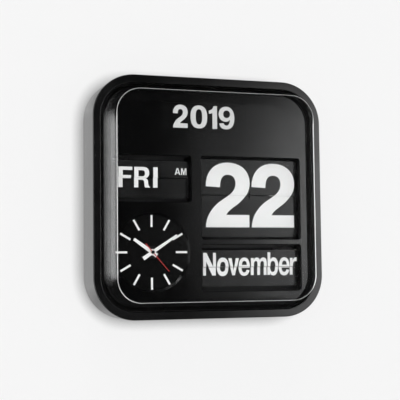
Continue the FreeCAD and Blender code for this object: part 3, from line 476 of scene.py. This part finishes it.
def sheet_plastic(name, dark, light, rough, dull, **fixed):
    """Glossy moulding or sheet whose inner walls or cut edges, where dull is 1, are matt."""
    made = new_material(name)
    mottle = noise(MOTTLE, 4)
    colour = blend_colours(mottle, dark, light)
    gloss = Value.node("ShaderNodeBsdfPrincipled", None, {
        "Base Color": colour, "Roughness": spread(mottle, *rough),
        "Normal": bump(noise(60, 2), 0.00001), **fixed})
    matt = Value.node("ShaderNodeBsdfPrincipled", None, {
        "Base Color": colour, "Roughness": 0.6, "Specular IOR Level": 0.08})
    output(Value.node("ShaderNodeMixShader", None, {0: dull(), 1: gloss, 2: matt}))
    return made


def cut_edges():
    """1 on the thin edges and walls of a sheet, 0 on its front and back."""
    facing = Value.node("ShaderNodeTexCoord", out="Normal")
    y = Value.node("ShaderNodeSeparateXYZ", None, {0: facing}, out=1)
    return clamp_range(y * y, 0.95, 0.9)


def face_walls():
    """1 on the walls and edges of the face, 0 on its front and on the polished flare that
    leads in to the dial."""
    x = position(0) - DIAL_X
    z = position(2) - DIAL_Z
    flare = clamp_range((x * x + z * z) ** 0.5, FLARE_REACH + 0.3, FLARE_REACH)
    polished = flare * clamp_range(x, *(share * FLARE_REACH for share in FLARE_POLISH))
    return cut_edges() * (1.0 - polished)


def plated(name, dark, light, rough, along):
    """Metal with fine drawn or brushed lines along one axis."""
    made = new_material(name)
    lines = noise(1.0, 4, vector=stretched(*along))
    finish(blend_colours(lines, dark, light), spread(lines, *rough), bump(lines, 0.000015),
           Metallic=1.0)
    return made


finishes = {
    "case_black": case_black,
    "clear": clear,
    "face_black": sheet_plastic("face_gloss_black", (0.0016, 0.0016, 0.0017),
                                (0.0028, 0.0028, 0.0029), (0.06, 0.12),
                                face_walls, IOR=1.52),
    "card_black": plastic("year_card_black", (0.002, 0.002, 0.0021), (0.0032, 0.0032, 0.0033),
                          (0.08, 0.14), 900, 0.000008),
    "dial_black": plastic("dial_satin_black", (0.0012, 0.0012, 0.0012), (0.002, 0.002, 0.002),
                          (0.12, 0.16), 300, 0.000002, IOR=1.4),
    "white_paint": plastic("white_lacquer", (0.88, 0.88, 0.87), (0.93, 0.93, 0.92),
                           (0.3, 0.42), 1200, 0.000012),
    "red_paint": plastic("red_lacquer", (0.42, 0.006, 0.006), (0.52, 0.01, 0.01),
                         (0.28, 0.4), 1200, 0.000012),
    "brass": plated("turned_brass", (0.62, 0.43, 0.17), (0.8, 0.6, 0.28), (0.2, 0.36),
                    (300, 4000, 300)),
    "steel": plated("zinc_plated_steel", (0.5, 0.51, 0.53), (0.68, 0.69, 0.7), (0.26, 0.44),
                    (150, 3000, 2500)),
    "motor_steel": plated("drawn_steel_can", (0.42, 0.42, 0.43), (0.6, 0.6, 0.61), (0.24, 0.4),
                          (3000, 250, 250)),
    "movement_black": plastic("movement_black", (0.003, 0.003, 0.003), (0.006, 0.006, 0.006),
                              (0.4, 0.55), 1800, 0.00002, Specular_IOR_Level=0.15),
    "inner_black": plastic("inner_matt_black", (0.003, 0.003, 0.003), (0.005, 0.005, 0.005),
                           (0.5, 0.65), 1600, 0.00002, Specular_IOR_Level=0.12),
    "rear_black": plastic("rear_spark_grain", (0.013, 0.013, 0.0135), (0.022, 0.022, 0.0225),
                          (0.42, 0.58), 2200, 0.00008),
    "cell_wrap": plastic("cell_sleeve", (0.1, 0.11, 0.13), (0.14, 0.15, 0.17), (0.22, 0.32),
                         800, 0.00001),
    "board_green": plastic("solder_resist", (0.012, 0.13, 0.04), (0.02, 0.19, 0.07),
                           (0.25, 0.4), 700, 0.00003),
    "rubber": plastic("bumper_rubber", (0.02, 0.02, 0.02), (0.035, 0.035, 0.035), (0.7, 0.85),
                      1400, 0.00006),
    "acetal_white": plastic("acetal_white", (0.7, 0.7, 0.67), (0.78, 0.78, 0.75), (0.34, 0.48),
                           900, 0.00002),
    "leaf_black": sheet_plastic("leaf_black_sheet", (0.003, 0.003, 0.0031),
                                (0.005, 0.005, 0.0052), (0.16, 0.24), cut_edges, IOR=1.5),
    "button_grey": plastic("button_grey", (0.22, 0.22, 0.23), (0.28, 0.28, 0.29), (0.4, 0.55),
                           1500, 0.00004),
}
for piece in frame["record"]["subparts"]:
    for slot in frame["nodes"][piece["node"]].material_slots:
        slot.material = finishes[piece["material_slot"]]


# ---- printed figures and words --------------------------------------------------------
# White silk-screen print on the black leaves and the year card, about 0.05 mm thick, in a
# heavy grotesque for the figures and the day and a condensed one for the month.
# Outlines: M start, L line, C curve, Z close; 100 units is the height of a capital.
GLYPHS = {
    "2": "M0 62.8 C0 86 14 100 35.6 100 C57 100 71 88 71 68.5 C71 56 64 46.5 53.6 37.5"
         " C46 31.5 37 27 32.9 19.2 L70.2 19.2 L70.2 0 L0 0 C0.5 16 9 29 22.1 39.3"
         " C34 47.5 47.9 53.5 47.9 68.3 C47.9 76.5 43 81.2 35.6 81.2"
         " C26.5 81.2 22.8 74 22.8 61.6 Z",
    "0": "M37.5 100 C63 100 75 83 75 50 C75 17 63 0 37.5 0 C12 0 0 17 0 50"
         " C0 83 12 100 37.5 100 Z"
         " M37.6 83.8 C28 83.8 23.1 74 23.1 50 C23.1 26 28 16.8 37.6 16.8"
         " C47.4 16.8 52.2 26 52.2 50 C52.2 74 47.4 83.8 37.6 83.8 Z",
    "1": "M15.7 0 L36.9 0 L36.9 100 L21 100 C19 89 11 81 0 80 L0 66 C7 66 12 67 15.7 69.5 Z",
    "9": "M35 100 C56 100 71.6 82 71.6 50 C71.6 18 57 0 33.5 0 C15 0 4.5 9 2.5 25"
         " L22.5 26.7 C23.5 20 27.5 16.5 34 16.5 C44 16.5 50 25 51 43"
         " C46.5 37 39.5 33.5 31 33.5 C12.5 33.5 0 47 0 66 C0 86 14 100 35 100 Z"
         " M36 83.5 C27 83.5 20.7 77 20.7 66.8 C20.7 56.5 27 50 36 50"
         " C45 50 51.8 57 51.8 67 C51.8 76.5 45 83.5 36 83.5 Z",
    "3": "M2 28 C3 10 16 0 36 0 C57 0 71 11 71 29 C71 41 65 49 54 52.5 C63 56.5 68 63.5 68 73"
         " C68 89 55.5 100 36 100 C17 100 5 90 3.5 72.5 L24 71 C25 78.5 29.5 82.5 36 82.5"
         " C42.5 82.5 47 78.5 47 72 C47 64 41 60.5 30.5 60.5 L30.5 44.5"
         " C43 44.5 49.5 39.5 49.5 30.5 C49.5 22.5 44 17.5 36 17.5 C28.5 17.5 24 22 23 30 Z",
    "F": "M0 0 L0 100 L67 100 L67 83.9 L20.8 83.9 L20.8 58.8 L61 58.8 L61 44.1 L20.8 44.1"
         " L20.8 0 Z",
    "R": "M0 0 L0 100 L45 100 C63 100 73 90 73 72 C73 58 67 48.5 56.5 45.5"
         " C64 43 67.5 38 68.5 28 C69.5 17 70 6 78.2 2.5 L78.2 0 L54.5 0"
         " C51 4 50 13 49.5 22 C48.8 33 46 37.5 36.5 37.5 L20.4 37.5 L20.4 0 Z"
         " M20.4 54 L20.4 83.9 L38.5 83.9 C48 83.9 52.3 78.5 52.3 69 C52.3 60 48 54 38.5 54 Z",
    "I": "M0 0 L0 100 L22.7 100 L22.7 0 Z",
    "A": "M0 0 L28.5 100 L51.2 100 L79.7 0 L62 0 L56.5 21.5 L23.2 21.5 L17.7 0 Z"
         " M27.5 37.5 L39.85 84 L52.2 37.5 Z",
    "M": "M0 0 L0 100 L24 100 L41.9 36 L59.8 100 L83.8 100 L83.8 0 L68.3 0 L68.3 76 L49 0"
         " L34.8 0 L15.5 76 L15.5 0 Z",
    "P": "M0 0 L0 100 L42 100 C62 100 73 89 73 69.5 C73 50 62 38.5 42 38.5 L19 38.5 L19 0 Z"
         " M19 55 L19 83.9 L37.5 83.9 C48 83.9 53.5 79 53.5 69.5 C53.5 60 48 55 37.5 55 Z",
    "N": "M0 0 L0 100 L15.4 100 L46 38 L46 100 L59.6 100 L59.6 0 L43 0 L13.6 62 L13.6 0 Z",
    "D": "M0 0 L0 100 L26 100 C46 100 58 82 58 50 C58 18 46 0 26 0 Z"
         " M14.4 16 L14.4 84 L24.5 84 C37.5 84 43.5 73 43.5 50 C43.5 27 37.5 16 24.5 16 Z",
    "o": "M27.4 78.5 C45 78.5 54.8 64 54.8 37.8 C54.8 11.5 45 -3 27.4 -3 C9.8 -3 0 11.5 0 37.8"
         " C0 64 9.8 78.5 27.4 78.5 Z"
         " M27.4 60 C19 60 14.5 52.5 14.5 37.8 C14.5 23 19 16 27.4 16"
         " C35.8 16 40.3 23 40.3 37.8 C40.3 52.5 35.8 60 27.4 60 Z",
    "v": "M0 75.9 L16 75.9 L25.7 22 L35.6 75.9 L51.3 75.9 L32 0 L19.5 0 Z",
    "e": "M52.5 22 C49.5 6 40.5 -3 26.8 -3 C9.5 -3 0 12.5 0 37.5 C0 63 10 78.5 27 78.5"
         " C44 78.5 53 63 53 36 L53 32.5 L14.5 32.5 C15 19.5 19.5 12.5 27 12.5"
         " C33 12.5 37 16.5 38.3 23.5 Z"
         " M14.8 45 C15.8 57.5 20 63.5 27 63.5 C34 63.5 38 57.5 38.8 45 Z",
    "m": "M0 0 L0 75.9 L13.5 75.9 L13.5 67 C17 74.5 22 78.5 28.5 78.5 C35.5 78.5 40.5 74.5 43 67"
         " C47 74.5 52.5 78.5 59.5 78.5 C71 78.5 76.3 70.5 76.3 54 L76.3 0 L62.6 0 L62.6 50"
         " C62.6 58.5 60.4 62.5 55.5 62.5 C49 62.5 45.2 57 45.2 46.5 L45.2 0 L31.5 0 L31.5 50"
         " C31.5 58.5 29.3 62.5 24.5 62.5 C18 62.5 14.2 57 14.2 46.5 L14.2 0 Z",
    "b": "M0 0 L0 101.5 L13.7 101.5 L13.7 68 C17.5 75 22.5 78.5 29 78.5"
         " C43 78.5 51.8 63.5 51.8 38 C51.8 12 43 -3 28.7 -3 C22 -3 16.8 0.5 13.2 8 L13.2 0 Z"
         " M25.5 62.5 C33.5 62.5 37.8 54 37.8 38 C37.8 21.5 33.5 12.8 25.5 12.8"
         " C17.8 12.8 13.4 21.5 13.4 37.5 C13.4 54 17.8 62.5 25.5 62.5 Z",
    "r": "M0 0 L0 75.9 L13.4 75.9 L13.4 64 C17.5 73.5 23 78.3 30 78.5 L33.3 78 L33.3 60"
         " C31.5 60.8 29.5 61 27.5 61 C18.5 61 14 54 14 40.5 L14 0 Z",
    "c": "M50 28 C47.5 8.5 39 -3 26 -3 C9.5 -3 0 12.5 0 37.5 C0 63 10 78.5 26.5 78.5"
         " C39.5 78.5 48 68.5 50 50.5 L36.3 48.5 C35.2 57.5 32 62.5 26.5 62.5"
         " C18.5 62.5 14.3 54 14.3 37.8 C14.3 21.3 18.5 12.8 26.5 12.8"
         " C32.2 12.8 35.5 18 36.5 28.5 Z",
}
INK_THICK = 0.05
CURVE_STEPS = 9
LEAF_AXIS_D = 14.0                 # the leaves turn about this depth
SAME_POINT = 1e-6


def outlines(path):
    """The closed outlines of one glyph as lists of points."""
    contours = []
    for kind, written in re.findall("([MLC])([^MLCZ]*)", path):
        numbers = [float(number) for number in written.split()]
        points = [Vector(pair) for pair in zip(numbers[::2], numbers[1::2])]
        if kind == "M":
            contours.append(points)
        elif kind == "L":
            contours[-1] += points
        else:
            start, (one, two, end) = contours[-1][-1], points
            for step in range(1, CURVE_STEPS + 1):
                t = step / CURVE_STEPS
                contours[-1].append((1 - t) ** 3 * start + 3 * t * (1 - t) ** 2 * one
                                    + 3 * t * t * (1 - t) * two + t ** 3 * end)
    return [c[:-1] if (c[0] - c[-1]).length < SAME_POINT else c for c in contours]


def face_forward(bm):
    """Turns every face of a flat sheet to the front."""
    for face in bm.faces:
        face.normal_update()
        if face.normal.y > 0:
            face.normal_flip()


def screen_print(name, dark, light):
    made = new_material(name)
    weave = noise(2600, 2)
    finish(blend_colours(weave, dark, light), spread(weave, 0.32, 0.46), bump(weave, 0.00001))
    return made


white_print = screen_print("white_screen_print", (0.85, 0.85, 0.845), (0.91, 0.91, 0.905))
grey_print = screen_print("grey_screen_print", (0.6, 0.6, 0.595), (0.67, 0.67, 0.665))


def printed(name, body, letters, top, foot, plane_d, split=None, half=0, gap=0, turned=False,
            ink=white_print):
    """Letters standing on plane_d, each given by its glyph, left edge and width. half keeps
    what is above (1) or below (-1) the split line, up to a gap from it; turned puts it on a
    raised leaf's back."""
    bm = bmesh.new()
    size = (top - foot) / 100
    for glyph, left, width in letters:
        loops = outlines(GLYPHS[glyph])
        flat = [p for loop in loops for p in loop]
        stretch = width / max(p.x for p in flat)
        corners = [bm.verts.new(at(left + p.x * stretch, plane_d, foot + p.y * size))
                   for p in flat]
        for triangle in geometry.tessellate_polygon([[p.to_3d() for p in c] for c in loops]):
            bm.faces.new([corners[i] for i in triangle])
    if half:
        bmesh.ops.bisect_plane(bm, geom=bm.verts[:] + bm.edges[:] + bm.faces[:],
                               plane_co=at(0, plane_d, split + half * gap),
                               plane_no=(0, 0, half), clear_inner=True)
    face_forward(bm)
    raised = bmesh.ops.extrude_face_region(bm, geom=bm.faces[:])
    shift = [g for g in raised["geom"] if isinstance(g, bmesh.types.BMVert)]
    bmesh.ops.translate(bm, verts=shift, vec=(0, -INK_THICK * MM, 0))
    bmesh.ops.recalc_face_normals(bm, faces=bm.faces)
    if turned:
        bmesh.ops.rotate(bm, verts=bm.verts, cent=at(0, LEAF_AXIS_D, split),
                         matrix=Matrix.Rotation(math.pi, 3, "X"))
    word = finished(name, bm, ink)
    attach(word, body)


# Each letter or figure is a glyph, its left edge and its width.
YEAR = [("2", -37.2, 15.4), ("0", -18.8, 17.7), ("1", 0.7, 8.7), ("9", 11.2, 16.9)]
card_face = (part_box("year_card")[0].y - RIM_Y) / MM
printed("year_figures", "clock_case", YEAR, 93.0, 69.8, card_face, ink=grey_print)

FRI = [("F", -91.5, 14.15), ("R", -75.4, 16.4), ("I", -55.9, 4.6)]
AM = [("A", -33.6, 5.9), ("M", -26.9, 5.7)]
PM = [("P", -33.2, 5.3), ("M", -27.0, 6.2)]
NOVEMBER = [("N", -4.5, 13.6), ("o", 10.2, 12.5), ("v", 22.3, 11.7), ("e", 33.6, 12.1),
            ("m", 46.9, 17.4), ("b", 65.3, 11.8), ("e", 77.8, 12.0), ("r", 90.2, 7.6)]
DECEMBER = [("D", -5.2, 13.2), ("e", 8.9, 12.1), ("c", 21.9, 11.4), ("e", 34.2, 12.1),
            ("m", 47.2, 17.4), ("b", 65.5, 11.8), ("e", 78.1, 12.1), ("r", 90.9, 7.4)]
TWENTY_TWO = [("2", -0.9, 47.7), ("2", 48.8, 47.7)]
TWENTY_THREE = [("2", -0.9, 47.7), ("3", 48.6, 47.0)]
# For each unit: the height of its split, the print's gap there, then the words that it shows
# and those on the next leaf, each with its top and foot.
units = {
    "day": (19.9, 0.04, [(FRI, 30.4, 10.1), (AM, 30.0, 23.3)],
            [(FRI, 30.4, 10.1), (PM, 30.0, 23.3)]),
    "date": (3.6, 0.04, [(TWENTY_TWO, 36.9, -29.0)], [(TWENTY_THREE, 36.9, -29.0)]),
    "month": (-69.2, 0.2, [(NOVEMBER, -54.8, -77.6)], [(DECEMBER, -54.8, -77.6)]),
}
for unit, (split, gap, shown, following) in units.items():
    leaf_front = (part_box(f"{unit}_leaf")[0].y - RIM_Y) / MM
    pack_front = (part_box(f"{unit}_upper_leaves")[0].y - RIM_Y) / MM
    for k, (word, top, foot) in enumerate(shown):
        printed(f"{unit}_print_leaf_{k}", f"{unit}_leaf", word, top, foot, leaf_front, split, 1,
                gap)
        if foot < split:
            printed(f"{unit}_print_lower_{k}", "clock_case", word, top, foot, pack_front, split,
                    -1, gap)
    for k, (word, top, foot) in enumerate(following):
        printed(f"{unit}_print_next_{k}", "clock_case", word, top, foot, pack_front, split, 1,
                gap)
        if foot < split:
            printed(f"{unit}_print_back_{k}", f"{unit}_leaf", word, top, foot, leaf_front, split,
                    -1, gap, turned=True)


# ---- wall, light and camera -----------------------------------------------------------
# The clock hangs on a plain white wall with a pale floor far below. The wall is open behind
# the clock, and clear from the back, so the rear can be looked at too.
WALL_Y = 0.0006
WALL_REACH = 3.0
WALL_HOLE = 114.0                  # half width of the opening behind the clock
FLOOR_Z = -1.3
FLOOR_REACH = 4.0
SHADOW_REACH = 0.02                # painted shadow: the case darkens the wall this far round it
SHADOW_OPEN = (0.37, 0.87)         # share of open view in full shadow, and where it ends
SHADOW_GREY = 0.2
WALL_GLOW_SHARE = 0.88             # the rest of its brightness is light that falls on it
# Where and how light the wall's painted reflection is.
MIRROR_BESIDE = (92.0, 80.0)       # heights from the middle, from none to full
MIRROR_SIDES = (108.0, 90.0)
MIRROR_CLOSE = (20.0, 14.0)        # distances out from the case, from none to full
MIRROR_DARK, MIRROR_PALE, MIRROR_PALEST = 0.01, 0.5, 0.88


def grey(level):
    return (level, level, level)


def ray_kind(name):
    return Value.node("ShaderNodeLightPath", out=name)


wall_paint = new_material("wall_paint")
white = blend_colours(noise(900, 3), grey(0.9), grey(0.915))
# Painted shadow: lit is the wall's white, greyed round the clock by ambient occlusion; it also
# colours the wall's glow.
open_view = Value.node("ShaderNodeAmbientOcclusion", {"samples": 16},
                       {"Distance": SHADOW_REACH}, out="AO")
lit = blend_colours(clamp_range(open_view, *SHADOW_OPEN), grey(SHADOW_GREY), white)
# Painted reflection: gloss sees the wall in painted tones, pale close round the clock and beside
# it, palest next to its flat sides, and dark past its corners.
height = abs(position(2))
beside = clamp_range(height, *MIRROR_BESIDE)
close = clamp_range(half_width() - CASE_HALF, *MIRROR_CLOSE)
painted_reflection = blend_colours(beside.maths("MAXIMUM", beside, close), grey(MIRROR_DARK),
                         grey(MIRROR_PALE))
painted_reflection = blend_colours(close * clamp_range(height, *MIRROR_SIDES), painted_reflection,
                         grey(MIRROR_PALEST))
shown = blend_colours(ray_kind("Is Glossy Ray"), lit, painted_reflection)
wall_surface = Value.node("ShaderNodeBsdfPrincipled", None, {
    "Base Color": shown, "Roughness": 0.85, "Specular IOR Level": 0.1})
glow = Value.node("ShaderNodeEmission", None, {"Color": shown, "Strength": 1.0})
looked_at = Value.node("ShaderNodeMath", {"operation": "ADD", "use_clamp": True}, {
    0: ray_kind("Is Camera Ray") + ray_kind("Is Glossy Ray"), 1: ray_kind("Is Transmission Ray")})
wall_seen = Value.node("ShaderNodeMixShader", None, {
    0: looked_at * WALL_GLOW_SHARE, 1: wall_surface, 2: glow})
output(Value.node("ShaderNodeMixShader", None, {
    0: Value.node("ShaderNodeNewGeometry", out="Backfacing"), 1: wall_seen,
    2: Value.node("ShaderNodeBsdfTransparent")}))

bm = bmesh.new()
corners = [Vector((x, z)) for x, z in rounded_square(WALL_HOLE)]
inside = [bm.verts.new((p.x * MM, WALL_Y, MIDDLE_Z + p.y * MM)) for p in corners]
outside = []
for p in corners:
    far = p * (WALL_REACH / max(abs(p.x), abs(p.y)))
    outside.append(bm.verts.new((far.x, WALL_Y, max(MIDDLE_Z + far.y, FLOOR_Z))))
for i, vert in enumerate(inside):
    j = (i + 1) % len(inside)
    bm.faces.new((vert, inside[j], outside[j], outside[i]))
face_forward(bm)
finished("wall", bm, wall_paint)

floor_paint = new_material("floor_paint")
speckle = noise(600)
pale = blend_colours(speckle, grey(0.86), grey(0.88))
# Painted reflection: glossy rays see the floor dark grey, other rays see it pale.
finish(blend_colours(ray_kind("Is Glossy Ray"), pale, grey(0.1)), spread(speckle, 0.7, 0.8),
       bump(speckle, 0.00005), Specular_IOR_Level=0.1)
bm = bmesh.new()
bm.faces.new([bm.verts.new((x * WALL_REACH, y * FLOOR_REACH, FLOOR_Z))
              for x, y in ((-1, -1), (1, -1), (1, 0), (-1, 0))])
finished("floor", bm, floor_paint)

# The studio is dim round the lens. A broad bank of light stands at the left, with a brighter
# strip near the lens; a softbox stands at the front right, at the clock's own height, with a
# dimmer screen on its left; another light hangs overhead. Behind the clock all is white.
# Each pair is where a light ends and where it is full, in parts of the unit direction.
DIM = 0.015
BANK, BANK_RIGHT, BANK_TALL = 1.75, (0.12, -0.02), (0.46, 0.22)
BANK_LEFT, BANK_LEFT_LEAST = (-0.95, -0.78), 0.3
STRIP, STRIP_RIGHT, STRIP_LEFT = 7.0, (0.1, -0.04), (-0.22, -0.08)
STRIP_FOOT, STRIP_TOP = (-0.5, -0.3), (0.5, 0.36)
OVERHEAD, OVERHEAD_FOOT, OVERHEAD_RIGHT = 3.5, (0.72, 0.85), (0.25, 0.1)
SCREEN, SCREEN_LEFT, SCREEN_FOOT, SCREEN_FOOT_LEAST = 0.45, (0.3, 0.33), (-0.03, 0.06), 0.45
SOFTBOX, SOFTBOX_LEFT, SOFTBOX_FOOT, SOFTBOX_FOOT_LEAST = 2.45, (0.34, 0.42), (-0.12, 0.04), 0.5
RIGHT_TOP, RIGHT_TOP_LEAST = (0.21, 0.12), 0.15     # of the softbox and its screen together
RIGHT_FAR, RIGHT_FAR_LOSS = (0.5, 0.62), 0.5
BACKGROUND = 0.9


def eased(value, ends, least=0.0):
    """Rises softly from least where a light ends to 1 where it is full."""
    return clamp_range(value, *ends, least, 1.0, "SMOOTHSTEP")


world = bpy.data.worlds.new("studio")
bpy.context.scene.world = world
world.use_nodes = True
world.node_tree.nodes.clear()
Value.tree = world.node_tree
ray = Value.node("ShaderNodeTexCoord", out="Generated")
x_part, y_part, z_part = (Value.node("ShaderNodeSeparateXYZ", None, {0: ray}, out=i)
                          for i in range(3))
screen = SCREEN * eased(x_part, SCREEN_LEFT) * eased(z_part, SCREEN_FOOT, SCREEN_FOOT_LEAST)
softbox = (SOFTBOX * clamp_range(x_part, *SOFTBOX_LEFT) ** 2
           * eased(z_part, SOFTBOX_FOOT, SOFTBOX_FOOT_LEAST))
at_right = ((screen + softbox) * eased(z_part, RIGHT_TOP, RIGHT_TOP_LEAST)
            * (1.0 - RIGHT_FAR_LOSS * eased(x_part, RIGHT_FAR)))
bank = (eased(x_part, BANK_RIGHT) * eased(abs(z_part), BANK_TALL)
        * eased(x_part, BANK_LEFT, BANK_LEFT_LEAST))
strip = (eased(x_part, STRIP_RIGHT) * eased(x_part, STRIP_LEFT)
         * clamp_range(z_part, *STRIP_FOOT) * clamp_range(z_part, *STRIP_TOP))
overhead = eased(z_part, OVERHEAD_FOOT) * eased(x_part, OVERHEAD_RIGHT)
front = DIM + at_right + BANK * (1.0 - strip) * bank + STRIP * strip + OVERHEAD * overhead
level = front + (1.0 - front) * clamp_range(y_part, -0.05, 0.05)
level = level + (BACKGROUND - level) * ray_kind("Is Camera Ray")
Value.node("ShaderNodeOutputWorld", None, {"Surface": Value.node(
    "ShaderNodeBackground", None, {"Color": (1.0, 1.0, 1.0, 1.0), "Strength": level})})

# The camera stands a metre off, to the left of the clock and a little below its middle.
CAMERA_AT = (-0.339515, -0.999477, -0.167094)
YAW, PITCH, ROLL = 0.329897, 0.0714573, -0.0111632
LENS = 91.994

camera = add_to_scene("camera", bpy.data.cameras.new("camera"))
camera.data.lens = LENS
camera.matrix_world = (
    Matrix.Translation(CAMERA_AT) @ Matrix.Rotation(-YAW, 4, "Z")
    @ Matrix.Rotation(math.pi / 2 + PITCH, 4, "X") @ Matrix.Rotation(ROLL, 4, "Z")
)
bpy.context.scene.camera = camera
bpy.context.scene.view_settings.view_transform = "Standard"
